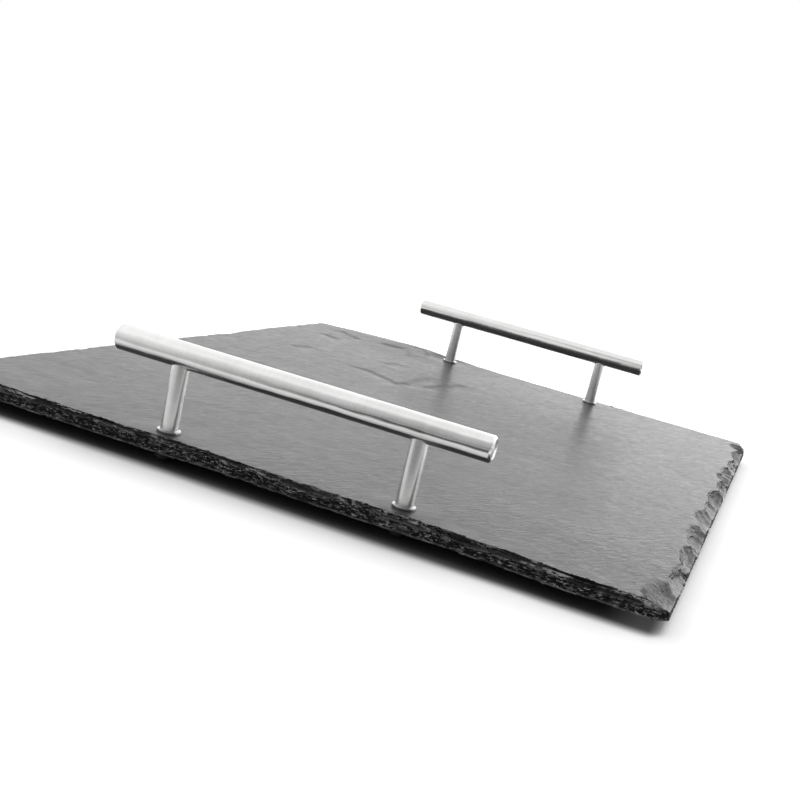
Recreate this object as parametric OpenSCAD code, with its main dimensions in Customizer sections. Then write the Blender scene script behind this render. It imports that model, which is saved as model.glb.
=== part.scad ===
// Slate serving board with a steel T-bar handle at each end, in millimetres.
// X runs along the handle bars, Y from the near handle to the far one, Z up.
// The origin is on the table, under the middle of the slate.

/* [Slate] */
// Width of the slate, along the handle bars
board_w = 300; // [240:5:360]
// Length of the slate, from handle to handle
board_l = 400; // [300:5:520]
// Thickness of the slate
board_t = 6.5; // [5:0.5:8]
// Length knocked off each corner
corner_cut = 4.5; // [4:0.5:10]

/* [Knapped edge] */
// Usual width of one flake scar
flake_w = 13; // [9:1:24]
// Distance that the ridges between flakes stand in at the upper face
edge_bevel = 1.6; // [0.8:0.1:2.5]
// Depth of the largest flake past those ridges
flake_bite = 4.2; // [1:0.1:5]
// Wander of the outermost line of the edge
edge_wander = 0.5; // [0.1:0.1:1]
// Chipping of the lower edge
low_chip = 1.1; // [0.3:0.1:2]

/* [Handles] */
// Distance between the two posts of a handle
post_spacing = 96; // [64:4:128]
// Length of a handle bar
bar_l = 150; // [144:1:220]
// Diameter of a handle bar
bar_d = 10; // [9:0.5:14]
// Chamfer round each end of a bar
bar_chamfer = 0.8; // [0.2:0.1:1.5]
// Height of a handle above the slate
handle_h = 35; // [32:1:60]
// Diameter of a post
post_d = 7; // [6:0.25:8.5]
// Diameter of the collar under a post
collar_d = 9; // [8:0.5:16]
// Thickness of the collar
collar_t = 1; // [0.6:0.1:2]
// Chamfer round the upper rim of the collar
collar_chamfer = 0.3; // [0.1:0.1:0.5]
// Distance of the handles from the ends of the slate
handle_inset = 15; // [12:1:40]

/* [Fixings] */
// Thread diameter of the screws and studs
screw_d = 4; // [3:0.25:4.5]
// Length of a fixing screw under its head
screw_l = 16; // [13:1:20]
// Diameter of the pan head
head_d = 8; // [6.5:0.5:9]
// Height of the pan head
head_h = 3.1; // [2.5:0.1:3.4]
// Length of each arm of the cross recess, end to end
recess_l = 4.4; // [3:0.1:5]
// Width of the arms of the cross recess
recess_w = 0.9; // [0.6:0.1:1.2]
// Depth of the cross recess
recess_depth = 1.7; // [1:0.1:2]
// Outer diameter of the plain washer under the head
washer_d = 9; // [8:0.5:12]
// Thickness of the plain washer
washer_t = 0.8; // [0.5:0.1:1]
// Length of the stud that joins a post to its bar
stud_l = 12; // [8:1:14]

/* [Feet] */
// Diameter of a rubber foot where it is stuck to the slate
foot_d = 15; // [10:0.5:24]
// Height of a rubber foot
foot_h = 5; // [4.5:0.5:12]
// How much narrower a foot is where it stands
foot_taper = 2; // [0:0.5:5]
// Rounding of the lower rim of a foot
foot_round = 0.8; // [0.2:0.1:1.5]
// Distance from the sides of the slate to the middle of a foot
foot_inset = 27; // [20:1:60]

/* [Hidden] */

// Clearance across a screw in its thread, and across it in the slate or a washer
thread_play = 0.1;
hole_play = 0.5;
// Clearance between the saddle on a post and the bar that it hugs
saddle_gap = 0.04;
// Room left past the end of a thread
thread_runout = 0.6;
// Chamfer round the ends of a stud or screw
tip_chamfer = 0.5;
// How far a cut runs past what it cuts
overrun = 1;

// Heights of the faces that pieces seat on
board_z = foot_h;
top_z = board_z + board_t;
post_z = top_z + collar_t;
bar_z = top_z + handle_h - bar_d / 2;
bar_under_z = bar_z - bar_d / 2;

// Places of the handles, posts and feet from the middle
handle_y = board_l / 2 - handle_inset;
post_x = post_spacing / 2;
foot_x = board_w / 2 - foot_inset;
foot_y = board_l / 2 - foot_inset;

// Depths of the threads in a post and in a bar
screw_z = board_z - washer_t;
screw_tip_z = screw_z + screw_l;
stud_low_z = bar_under_z - stud_l / 2;
stud_top_z = bar_under_z + stud_l / 2;

// Flakes along one side of the outline, and where each one starts
flake_seed = 41;
stations = 6;
weight_spread = [0.55, 1.45];
function flakes_along(side_l) = max(1, round(side_l / flake_w));
function weights(count, side) = rands(weight_spread[0], weight_spread[1], count, flake_seed + side);
function sum_to(values, count) = count < 1 ? 0 : values[count - 1] + sum_to(values, count - 1);

// Corners of the outline, anticlockwise from the left end of the near side
corner_shares = [1, 0.75, 1.2, 0.9];
function corner_at(k) = corner_cut * corner_shares[k];
outline = [
    [-board_w / 2 + corner_at(0), -board_l / 2],
    [board_w / 2 - corner_at(1), -board_l / 2],
    [board_w / 2, -board_l / 2 + corner_at(1)],
    [board_w / 2, board_l / 2 - corner_at(2)],
    [board_w / 2 - corner_at(2), board_l / 2],
    [-board_w / 2 + corner_at(3), board_l / 2],
    [-board_w / 2, board_l / 2 - corner_at(3)],
    [-board_w / 2, -board_l / 2 + corner_at(0)]
];
sides = len(outline);
function side_end(side) = outline[(side + 1) % sides];
function side_vector(side) = side_end(side) - outline[side];
function side_normal(side) = let(v = side_vector(side) / norm(side_vector(side))) [-v[1], v[0]];

// Inward direction at a corner, long enough that both sides move in alike
function corner_normal(side) =
    let(a = side_normal((side + sides - 1) % sides), b = side_normal(side))
    (a + b) / (1 + a * b);

// One station: plan point, inward direction, share along its flake, the flake's number, and its side
side_flakes = [for (side = [0 : sides - 1]) flakes_along(norm(side_vector(side)))];
station_list = [
    for (side = [0 : sides - 1])
        let(count = side_flakes[side], w = weights(count, side), whole = sum_to(w, count))
            for (flake = [0 : count - 1])
                let(start = sum_to(w, flake) / whole, span = w[flake] / whole)
                    for (step = [0 : stations - 1])
                        let(along = step / stations)
                            [
                                outline[side] + side_vector(side) * (start + span * along),
                                flake == 0 && step == 0 ? corner_normal(side) : side_normal(side),
                                along,
                                sum_to(side_flakes, side) + flake,
                                side
                            ]
];
station_count = len(station_list);
flake_total = sum_to(side_flakes, sides);

// Chances that set each flake's bite, its ridge, its hollow and the chips below it
bite_rolls = rands(0, 1, flake_total, flake_seed + sides);
ridge_rolls = rands(0, 1, flake_total, flake_seed + 2 * sides);
hollow_rolls = rands(0, 1, flake_total, flake_seed + 3 * sides);
chip_rolls = rands(0, 1, station_count, flake_seed + 4 * sides);

// Share of the bite on each side: near, right, far and left, with the cut corners between them
side_bite_shares = [0.4, 0.12, 1, 0.12, 0.7, 0.12, 1, 0.12];

// Shares that shape a flake scar
ridge_shares = [0.45, 1.5];
bite_shares = [0.12, 0.88];
bite_power = 2.4;
hollow_shares = [0.5, 0.78];
ridge_hollow_share = 0.42;
hollow_height_shares = [0.5, 0.74];
widest_height_share = 0.26;
low_chip_share = 0.35;

function mix(pair, t) = pair[0] + (pair[1] - pair[0]) * t;
function bow(t) = 1 - pow(2 * t - 1, 2);
function ridge_at(flake) = edge_bevel * mix(ridge_shares, ridge_rolls[flake % flake_total]);
function bite_at(s) =
    flake_bite * side_bite_shares[s[4]] * mix(bite_shares, pow(bite_rolls[s[3]], bite_power));

// Distance in from the outline at the upper face, the hollow, the widest line and the lower face
function upper_inset(s) = mix([ridge_at(s[3]), ridge_at(s[3] + 1)], s[2]) + bite_at(s) * bow(s[2]);
function hollow_inset(s) =
    upper_inset(s) * mix([ridge_hollow_share, mix(hollow_shares, hollow_rolls[s[3]])], bow(s[2]));
function widest_inset(k) = edge_wander * pow(chip_rolls[k], 2);
function lower_inset(k) = low_chip * mix([low_chip_share, 1], chip_rolls[(k + stations) % station_count]);
function hollow_z(s) =
    board_t * mix([hollow_height_shares[0], mix(hollow_height_shares, bite_rolls[s[3]])], bow(s[2]));

// Four rings of points round the slate, from the lower face to the upper one
widest_z = board_t * widest_height_share;
function ring_point(s, inset, z) = [s[0][0] + s[1][0] * inset, s[0][1] + s[1][1] * inset, z];
rings = [
    [for (k = [0 : station_count - 1]) ring_point(station_list[k], lower_inset(k), 0)],
    [for (k = [0 : station_count - 1]) ring_point(station_list[k], widest_inset(k), widest_z)],
    [for (s = station_list) ring_point(s, hollow_inset(s), hollow_z(s))],
    [for (s = station_list) ring_point(s, upper_inset(s), board_t)]
];
ring_points = [for (ring = rings) each ring];
last_ring = len(rings) - 1;

// Two triangles between each pair of stations, and a flat face at each end
function next_station(k) = (k + 1) % station_count;
ring_faces = [
    for (r = [0 : last_ring - 1])
        for (k = [0 : station_count - 1])
            let(a = r * station_count + k, b = r * station_count + next_station(k))
                each [[a, a + station_count, b], [b, a + station_count, b + station_count]]
];
lower_face = [for (k = [0 : station_count - 1]) k];
upper_face = [for (k = [station_count - 1 : -1 : 0]) last_ring * station_count + k];

// Facets round a turned piece
$fn = 96;

// Carries a piece to one post: side_x and side_y are -1 or 1
module at_post(side_x, side_y) {
    translate([side_x * post_x, side_y * handle_y, 0])
        children();
}

// Riven slate with a flaked edge all round and a hole under each post
module slate_board() {
    color("#4a4d50")
        difference() {
            translate([0, 0, board_z])
                polyhedron(points = ring_points, faces = [lower_face, upper_face, each ring_faces]);
            for (side_x = [-1, 1])
                for (side_y = [-1, 1])
                    at_post(side_x, side_y)
                        translate([0, 0, board_z - overrun])
                            cylinder(h = board_t + 2 * overrun, d = screw_d + hole_play);
        }
}

// Bar turned with a chamfer at each end, and tapped from below for the two studs
module handle_bar(side_y) {
    color("#c9cacc")
        difference() {
            translate([0, side_y * handle_y, bar_z])
                rotate([0, 90, 0])
                    rotate_extrude()
                        polygon([
                            [0, -bar_l / 2],
                            [bar_d / 2 - bar_chamfer, -bar_l / 2],
                            [bar_d / 2, -bar_l / 2 + bar_chamfer],
                            [bar_d / 2, bar_l / 2 - bar_chamfer],
                            [bar_d / 2 - bar_chamfer, bar_l / 2],
                            [0, bar_l / 2]
                        ]);
            for (side_x = [-1, 1])
                at_post(side_x, side_y)
                    translate([0, 0, bar_under_z - overrun])
                        cylinder(h = overrun + stud_l / 2 + thread_runout, d = screw_d + thread_play);
        }
}

// Post with a saddle cut across its top, tapped from both ends
module post() {
    color("#bdbfc2")
        difference() {
            translate([0, 0, post_z])
                cylinder(h = bar_z - post_z, d = post_d);
            translate([-post_d, 0, bar_z])
                rotate([0, 90, 0])
                    cylinder(h = 2 * post_d, d = bar_d + 2 * saddle_gap);
            translate([0, 0, post_z - overrun])
                cylinder(h = screw_tip_z - post_z + overrun + thread_runout, d = screw_d + thread_play);
            translate([0, 0, stud_low_z - thread_runout])
                cylinder(h = stud_l, d = screw_d + thread_play);
        }
}

// Collar that spreads the post's load on the slate
module collar() {
    color("#c9cacc")
        translate([0, 0, top_z])
            difference() {
                rotate_extrude()
                    polygon([
                        [0, 0],
                        [collar_d / 2, 0],
                        [collar_d / 2, collar_t - collar_chamfer],
                        [collar_d / 2 - collar_chamfer, collar_t],
                        [0, collar_t]
                    ]);
                translate([0, 0, -overrun])
                    cylinder(h = collar_t + 2 * overrun, d = screw_d + hole_play);
            }
}

// Headless stud, half in the post and half in the bar
module stud() {
    color("#9a9ca0")
        rotate_extrude()
            polygon([
                [0, stud_low_z],
                [screw_d / 2 - tip_chamfer, stud_low_z],
                [screw_d / 2, stud_low_z + tip_chamfer],
                [screw_d / 2, stud_top_z - tip_chamfer],
                [screw_d / 2 - tip_chamfer, stud_top_z],
                [0, stud_top_z]
            ]);
}

// Pan-head screw from below, through the washer, the slate and the collar into the post
crown_share = 0.45;
rim_share = 0.7;
arc_steps = 6;
module screw() {
    rim_r = head_d / 2;
    crown_h = head_h * crown_share;
    color("#9a9ca0")
        difference() {
            rotate_extrude()
                polygon([
                    [0, screw_tip_z],
                    [0, screw_z - head_h],
                    for (step = [0 : arc_steps])
                        let(turn = 90 * step / arc_steps)
                            [
                                rim_r * mix([rim_share, 1], sin(turn)),
                                screw_z - head_h + crown_h * (1 - cos(turn))
                            ],
                    [rim_r, screw_z],
                    [screw_d / 2, screw_z],
                    [screw_d / 2, screw_tip_z - tip_chamfer],
                    [screw_d / 2 - tip_chamfer, screw_tip_z]
                ]);
            for (turn = [0, 90])
                translate([0, 0, screw_z - head_h + (recess_depth - overrun) / 2])
                    rotate([0, 0, turn])
                        cube([recess_l, recess_w, recess_depth + overrun], center = true);
        }
}

// Plain washer between the screw's head and the slate
module washer() {
    color("#b4b6b9")
        translate([0, 0, screw_z])
            difference() {
                cylinder(h = washer_t, d = washer_d);
                translate([0, 0, -overrun])
                    cylinder(h = washer_t + 2 * overrun, d = screw_d + hole_play);
            }
}

// Tapered rubber foot with a rounded lower rim
module foot(side_x, side_y) {
    base_r = (foot_d - foot_taper) / 2;
    color("#1b1b1c")
        translate([side_x * foot_x, side_y * foot_y, 0])
            rotate_extrude()
                polygon([
                    [0, 0],
                    for (step = [0 : arc_steps])
                        let(turn = 90 * step / arc_steps)
                            [base_r - foot_round * (1 - sin(turn)), foot_round * (1 - cos(turn))],
                    [foot_d / 2, foot_h],
                    [0, foot_h]
                ]);
}

module near_handle_bar() { handle_bar(-1); }
module far_handle_bar() { handle_bar(1); }
module near_left_post() { at_post(-1, -1) post(); }
module near_right_post() { at_post(1, -1) post(); }
module far_left_post() { at_post(-1, 1) post(); }
module far_right_post() { at_post(1, 1) post(); }
module near_left_collar() { at_post(-1, -1) collar(); }
module near_right_collar() { at_post(1, -1) collar(); }
module far_left_collar() { at_post(-1, 1) collar(); }
module far_right_collar() { at_post(1, 1) collar(); }
module near_left_stud() { at_post(-1, -1) stud(); }
module near_right_stud() { at_post(1, -1) stud(); }
module far_left_stud() { at_post(-1, 1) stud(); }
module far_right_stud() { at_post(1, 1) stud(); }
module near_left_screw() { at_post(-1, -1) screw(); }
module near_right_screw() { at_post(1, -1) screw(); }
module far_left_screw() { at_post(-1, 1) screw(); }
module far_right_screw() { at_post(1, 1) screw(); }
module near_left_washer() { at_post(-1, -1) washer(); }
module near_right_washer() { at_post(1, -1) washer(); }
module far_left_washer() { at_post(-1, 1) washer(); }
module far_right_washer() { at_post(1, 1) washer(); }
module near_left_foot() { foot(-1, -1); }
module near_right_foot() { foot(1, -1); }
module far_left_foot() { foot(-1, 1); }
module far_right_foot() { foot(1, 1); }

slate_board();
near_handle_bar();
far_handle_bar();
near_left_post();
near_right_post();
far_left_post();
far_right_post();
near_left_collar();
near_right_collar();
far_left_collar();
far_right_collar();
near_left_stud();
near_right_stud();
far_left_stud();
far_right_stud();
near_left_screw();
near_right_screw();
far_left_screw();
far_right_screw();
near_left_washer();
near_right_washer();
far_left_washer();
far_right_washer();
near_left_foot();
near_right_foot();
far_left_foot();
far_right_foot();
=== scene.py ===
import math
import random

import bmesh
import bpy
import numpy as np
from mathutils import Matrix, Vector, noise


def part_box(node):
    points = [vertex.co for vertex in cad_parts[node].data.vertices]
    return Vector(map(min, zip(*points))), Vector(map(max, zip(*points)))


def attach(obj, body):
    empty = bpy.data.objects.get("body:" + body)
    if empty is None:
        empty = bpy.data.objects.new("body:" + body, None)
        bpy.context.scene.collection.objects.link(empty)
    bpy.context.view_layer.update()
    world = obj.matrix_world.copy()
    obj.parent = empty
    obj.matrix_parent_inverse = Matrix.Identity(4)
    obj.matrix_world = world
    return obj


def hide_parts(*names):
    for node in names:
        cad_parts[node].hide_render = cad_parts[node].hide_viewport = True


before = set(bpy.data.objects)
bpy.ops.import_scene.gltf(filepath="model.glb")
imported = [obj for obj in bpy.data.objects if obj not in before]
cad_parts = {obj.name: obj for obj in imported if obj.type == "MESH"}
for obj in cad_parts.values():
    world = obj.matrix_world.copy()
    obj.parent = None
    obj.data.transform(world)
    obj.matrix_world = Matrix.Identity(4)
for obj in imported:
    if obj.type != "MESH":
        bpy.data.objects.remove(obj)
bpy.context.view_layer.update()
print("frame loaded with", len(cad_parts), "nodes")

mm = 0.001
hair = 0.01 * mm         # places closer than this count as one


# Small helpers for working as by hand

def deselectAll():
    if bpy.context.object and bpy.context.object.mode == "EDIT":
        bpy.ops.object.mode_set(mode="OBJECT")
    bpy.ops.object.select_all(action="DESELECT")


# Takes the primitive that was just added, applies its place and opens it for editing
def newPiece(name):
    piece = bpy.context.object
    piece.name = name
    piece.data.name = name
    bpy.ops.object.transform_apply(location=True, rotation=True, scale=True)
    bpy.ops.object.mode_set(mode="EDIT")
    return piece


# Selects the vertices, edges or faces that pass the test, and nothing else
def pick(piece, mode, test):
    bpy.ops.mesh.select_mode(type=mode)
    bpy.ops.mesh.select_all(action="DESELECT")
    sheet = bmesh.from_edit_mesh(piece.data)
    parts = {"VERT": sheet.verts, "EDGE": sheet.edges, "FACE": sheet.faces}[mode]
    for part in parts:
        if test(part):
            part.select_set(True)
    sheet.select_flush_mode()
    bmesh.update_edit_mesh(piece.data)


# Leaves edit mode with outward normals and shading that breaks at sharp edges
def closePiece(piece, angle):
    bpy.ops.mesh.select_all(action="SELECT")
    bpy.ops.mesh.normals_make_consistent(inside=False)
    bpy.ops.object.mode_set(mode="OBJECT")
    bpy.ops.object.shade_smooth_by_angle(angle=math.radians(angle))
    deselectAll()


# The slate: its rim is drawn as rows round the outline, then knapped flake by flake. All its sizes are in mm

slateSpec = {
    "node": "slate_board",
    "cornerCut": 4.5,
    "stationGap": 0.85,      # spacing of the points along the outline
    "lengthPlay": 0.2,       # an edge this close to a side's length or a corner's is that side or corner
    "lowerRows": [9, 6.5, 4.6, 3.2, 2.2, 1.4, 0.8, 0.35],
    "sideRows": [0.3, 0.8, 1.4, 2.0, 2.6, 3.2, 3.8, 4.3, 4.7, 5.05, 5.35, 5.65, 5.95, 6.25],
    "upperRows": [0.3, 0.7, 1.2, 1.7, 2.3, 2.9, 3.6, 4.3, 5.1, 5.9, 6.8, 7.8, 8.9, 10.2, 11.8, 13.5],
    "rowPlay": 0.05,         # a point this close to a row belongs to it
    "gridGap": 1.8,          # from the last row to the grid that fills the face
    "upperCell": 2.05,
    "lowerCell": 6.0,
    "trimFade": 30.0,        # from the edge, over which the insets of trimLines fade out
    "smoothAngle": 32,
    "seed": 23,
}
# Flakes of each side: width, reach over the upper face and drop down the side, least and most.
# chips is the share of small chips, lean the extra inset of the upper arris, warp bends the scars and
# crumb is the share of the fine roughness
flakeSpec = {
    "near": {"width": (9, 26), "reach": (0.2, 1.4), "drop": (2.2, 6.2), "hollow": (1.0, 2.4),
             "chips": 1.0, "lean": 0.5, "warp": (2.2, 0.5), "crumb": 1.0},
    "far": {"width": (10, 30), "reach": (0.3, 1.8), "drop": (1.2, 4.4), "hollow": (1.3, 2.8),
            "chips": 1.0, "lean": 0.3, "warp": (2.6, 0.6), "crumb": 0.6},
    "left": {"width": (12, 34), "reach": (0.3, 2.0), "drop": (1.5, 5.0), "hollow": (1.3, 2.6),
             "chips": 0.8, "lean": 4.0, "warp": (3.0, 0.6), "crumb": 0.5},
    "right": {"width": (28, 58), "reach": (4.0, 10.5), "drop": (3.6, 6.2), "hollow": (1.8, 4.5),
              "chips": 0.25, "lean": 1.2, "warp": (5.0, 1.2), "crumb": 0.4},
}
chipSpec = {
    "upper": {"gap": 4.2, "width": (1.6, 7.0), "reach": (0.1, 0.8), "drop": (0.4, 2.4), "hollow": (1.0, 2.2)},
    "lower": {"gap": 3.4, "width": (1.8, 6.5), "reach": (0.2, 1.0), "drop": (0.3, 1.6), "hollow": (1.0, 2.0)},
}
strikeSpec = {
    "focus": (14.0, 2.0),    # a flake takes stone away towards this line, in and up from the lower edge
    "focusGap": 1.0,         # points closer to it than this stay
    "longest": 9.0,          # and none travels further than this
    "runOut": 4.0,           # the flakes begin and end this far past the ends of a side
    "middle": 0.4,           # a flake's deepest place, as a share of its width
    "stepShare": (0.55, 0.85),   # from one flake to the next, as a share of its width
    "flakePower": 1.6,       # the higher, the fewer flakes reach far in
    "chipPower": 1.5,
}
# Smooth noise that bends the scars: its size along the side, into the stone and up
warpSpec = {
    "broad": (17, 11, 6),
    "fine": (5, 4, 2.5),
    "fineShare": (0.3, 0.5, 0.5),
    "rise": 0.6,             # share of the bend that goes up
    "shift": 50,             # the noise is read from a random height up to this one
}
# Thin slots where a layer has split off just under the upper face
slotSpec = {"gap": 7.0, "length": (7, 30), "depth": (0.8, 3.0), "heights": (4.3, 4.7, 5.05, 5.35, 5.65, 5.95)}
# Each side's axis along it, its axis into the stone, and whether that axis starts from the other side
sideAxes = {"near": (0, 1, False), "far": (0, 1, True), "left": (1, 0, False), "right": (1, 0, True)}
# How far the outline stands in, as places along a side from its middle and insets
trimLines = {
    "near": [(-150, 5.5), (-20, 5.5), (20, 4.0), (65, 4.2), (95, 2.4), (113, 0.3), (150, 0)],
    "far": [(-150, 4.5), (-138, 3.0), (-124, 0.3), (150, 0)],
    "left": [(-200, 0.6), (200, 0.6)],
    "right": [(-200, 0), (200, 0)],
}
reliefSpec = {
    "swell": 95.0,           # size of the broad swells of the riven face
    "swellNoise": (1.0, 2.1, 4),     # dimension, spacing and number of its octaves
    "levels": 3.4,           # how many layers they cross
    "softness": 0.16,        # share of a layer that its ramp takes
    "step": 0.06,            # height of one layer
    "grain": 6.0,
    "grainNoise": (0.8, 2.0, 3),
    "grainShift": 5,
    "grainDepth": 0.03,
    "seatRadius": 7.0,       # the face is flat round each post
    "seatFade": 9.0,
    "ledgeDrop": 0.42,       # a ledge is sharp on one side and fades out on the other
    "ledgeWidth": 0.7,
    "ledgeSteepness": 3,
    "ledgeFade": 9.0,
    "ledgeTaper": 6,         # its ends run out over one part in this many
    "upperShift": 3.0,       # where the noise of each face is read
    "lowerShift": 11.0,
    "lowerShare": 0.25,      # share of the relief on the lower face
    "scarShare": 0.4,        # and on the broken parts of either
    "humpPlace": (-76, 203), # a thicker part at the far edge, from the middle of the board
    "humpSize": (27, 24),
    "humpHeight": 2.1,
}
# Ledges of the upper face, as places from the middle of the board
ledgeLines = [
    [(-78, 62), (-71, 67), (-61, 69), (-54, 64), (-46, 60), (-41, 56), (-36, 66), (-37, 81), (-36, 98),
     (-32, 117)],
    [(-126, 140), (-124, 152), (-115, 145), (-114, 154), (-118, 167)],
    [(-125, 183), (-116, 176), (-102, 165)],
    [(-94, 178), (-86, 177), (-78, 180)],
    [(-73, 200), (-66, 188), (-59, 175)],
    [(-66, 102), (-63, 119)],
    [(-29, 63), (-24, 86), (-16, 114)],
    [(-113, 71), (-109, 89)],
]
brokenSpec = {
    "untouched": 0.02,       # a point that moved less than this is still part of the riven face
    "marked": 0.5,           # and one that moved this far is marked as broken all through
    "arrisHeight": 0.25,     # middle and half width of the pale lower arris
    "arrisWidth": 0.55,
    "grits": {"crunch": (1.5, 1.1), "splinter": (5.0, 1.0)},     # size of the grain and its strength
    "gritDepth": 3,
    "weights": 10,           # steps in which crumb sets the strength
}


# The value that lies that share of the way through a least and a most
def between(ends, share):
    return ends[0] + (ends[1] - ends[0]) * share


# 0 to 1 with a soft start and a soft end
def softly(share):
    share = np.clip(share, 0, 1)
    return share * share * (3 - 2 * share)


# How far each point stands in from that side
def depthFrom(plan, size, side):
    inAxis, flipped = sideAxes[side][1:]
    return size[inAxis] - plan[:, inAxis] if flipped else plan[:, inAxis]


def extrudeRow(factor, lift, centre):
    bpy.ops.mesh.extrude_region_move(TRANSFORM_OT_translate={"value": (0, 0, lift)})
    if factor != (1, 1):
        bpy.ops.transform.resize(value=(factor[0], factor[1], 1), center_override=centre)


# Lays a grid inside the last row at that height and bridges the gap between the two
def fillWithGrid(piece, size, inset, cell, height, centre):
    spanX = (size[0] - 2 * inset) * mm
    spanY = (size[1] - 2 * inset) * mm
    bpy.ops.mesh.select_all(action="DESELECT")
    bpy.ops.mesh.primitive_grid_add(
        x_subdivisions=round(spanX / mm / cell), y_subdivisions=round(spanY / mm / cell),
        size=1, location=(centre[0], centre[1], height))
    bpy.ops.transform.resize(value=(spanX, spanY, 1), center_override=(centre[0], centre[1], height))
    pick(piece, "EDGE", lambda e: e.is_boundary and abs(e.verts[0].co.z - height) < hair)
    bpy.ops.mesh.fill(use_beauty=True)


# Draws the outline as loose edges, with its corners cut and a point every stationGap
def drawOutline(centre, size, height):
    cut = slateSpec["cornerCut"]
    play = slateSpec["lengthPlay"] * mm
    deselectAll()
    bpy.ops.mesh.primitive_plane_add(size=1, location=(centre.x, centre.y, height))
    bpy.context.object.scale = (size[0] * mm, size[1] * mm, 1)
    slab = newPiece("slateBoard")
    bpy.ops.mesh.select_all(action="SELECT")
    bpy.ops.mesh.bevel(offset=cut * mm, affect="VERTICES")
    bpy.ops.mesh.select_all(action="SELECT")
    bpy.ops.mesh.delete(type="ONLY_FACE")
    firstParts = 10          # a side is divided in two goes, because one makes 100 cuts at most
    for sideLength in size:
        straight = (sideLength - 2 * cut) * mm
        pick(slab, "EDGE", lambda e: abs(e.calc_length() - straight) < play)
        stations = round(straight / mm / slateSpec["stationGap"])
        bpy.ops.mesh.subdivide(number_cuts=firstParts - 1)
        bpy.ops.mesh.subdivide(number_cuts=round(stations / firstParts) - 1)
    corner = cut * math.sqrt(2)
    pick(slab, "EDGE", lambda e: abs(e.calc_length() - corner * mm) < play)
    bpy.ops.mesh.subdivide(number_cuts=round(corner / slateSpec["stationGap"]) - 1)
    return slab


# The plain slab with all the rows and cells that the flakes and the cleft face need
def buildSlab(low, high):
    centre = (low + high) / 2
    size = ((high.x - low.x) / mm, (high.y - low.y) / mm)
    slab = drawOutline(centre, size, low.z)
    top = (high.z - low.z) / mm
    rows = [(inset, 0) for inset in slateSpec["lowerRows"]]
    rows += [(0, height) for height in slateSpec["sideRows"]]
    rows += [(inset, top) for inset in slateSpec["upperRows"]]
    bpy.ops.mesh.select_all(action="SELECT")
    pivot = (centre.x, centre.y, low.z)
    first = [(size[k] - 2 * rows[0][0]) / size[k] for k in (0, 1)]
    bpy.ops.transform.resize(value=(first[0], first[1], 1), center_override=pivot)
    for (insetA, heightA), (insetB, heightB) in zip(rows, rows[1:]):
        factor = tuple((size[k] - 2 * insetB) / (size[k] - 2 * insetA) for k in (0, 1))
        extrudeRow(factor, (heightB - heightA) * mm, pivot)
    fillWithGrid(slab, size, rows[-1][0] + slateSpec["gridGap"], slateSpec["upperCell"], high.z, centre)
    fillWithGrid(slab, size, rows[0][0] + slateSpec["gridGap"], slateSpec["lowerCell"], low.z, centre)
    bpy.ops.mesh.select_all(action="SELECT")
    bpy.ops.mesh.normals_make_consistent(inside=False)
    bpy.ops.object.mode_set(mode="OBJECT")
    return slab, size, top


# Centre and radius, in the plane across the edge, of the round tool that leaves the scar
def scarShape(reach, drop, hollow, top, fromBelow):
    rim = np.array([reach, 0 if fromBelow else top])
    foot = np.array([0, drop if fromBelow else top - drop])
    chord = foot - rim
    length = np.hypot(*chord)
    radius = hollow * length
    outward = np.array([chord[1], -chord[0]]) / length
    if outward[0] > 0:
        outward = -outward
    return (rim + foot) / 2 + outward * math.sqrt(radius ** 2 - length ** 2 / 4), radius


# Moves the points that lie inside one flake towards the focus line, out to the flake's far wall
def strikeFlake(points, order, along, top, place, width, reach, drop, hollow, fromBelow):
    centre, radius = scarShape(reach, drop, hollow, top, fromBelow)
    corner = np.array([0, 0 if fromBelow else top])
    offset = np.hypot(*(corner - centre))
    if offset >= radius:
        return
    halfLength = (width / 2) / math.sqrt(1 - (offset / radius) ** 2)
    first, last = np.searchsorted(along, [place - halfLength, place + halfLength])
    chosen = order[first:last]
    if len(chosen) == 0:
        return
    s, d, z = points[chosen].T
    focus = strikeSpec["focus"]
    aim = np.stack([np.zeros_like(s), focus[0] - d, focus[1] - z], 1)
    aim /= np.linalg.norm(aim, axis=1)[:, None]
    scale = np.array([halfLength, radius, radius])
    start = (np.stack([s, d, z], 1) - [place, centre[0], centre[1]]) / scale
    ray = aim / scale
    a = (ray ** 2).sum(1)
    b = (start * ray).sum(1)
    c = (start ** 2).sum(1) - 1
    inside = (c < 0) & (d < focus[0] - strikeSpec["focusGap"])
    travel = np.where(inside, (-b + np.sqrt(np.maximum(b * b - a * c, 0))) / a, 0)
    travel = np.minimum(travel, strikeSpec["longest"])
    points[chosen] += aim * travel[:, None]


# The large flakes along a side: place, width, reach, drop, hollow, and whether it is struck from below
def flakesAlong(dice, spec, length):
    strikes = []
    place = -strikeSpec["runOut"]
    while place < length + strikeSpec["runOut"]:
        width = dice.uniform(*spec["width"])
        bite = dice.random() ** strikeSpec["flakePower"]
        drop = dice.uniform(*spec["drop"])
        hollow = dice.uniform(*spec["hollow"])
        strikes.append((
            place + width * strikeSpec["middle"], width, between(spec["reach"], bite), drop, hollow, False))
        place += width * dice.uniform(*strikeSpec["stepShare"])
    return strikes


# The small chips along its two arrises
def chipsAlong(dice, spec, length):
    strikes = []
    for edge, fromBelow in (("upper", False), ("lower", True)):
        chip = chipSpec[edge]
        for k in range(round(length / chip["gap"] * spec["chips"])):
            small = dice.random() ** strikeSpec["chipPower"]
            strikes.append((
                dice.uniform(0, length), between(chip["width"], small), between(chip["reach"], small),
                dice.uniform(*chip["drop"]), dice.uniform(*chip["hollow"]), fromBelow))
    return strikes


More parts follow.
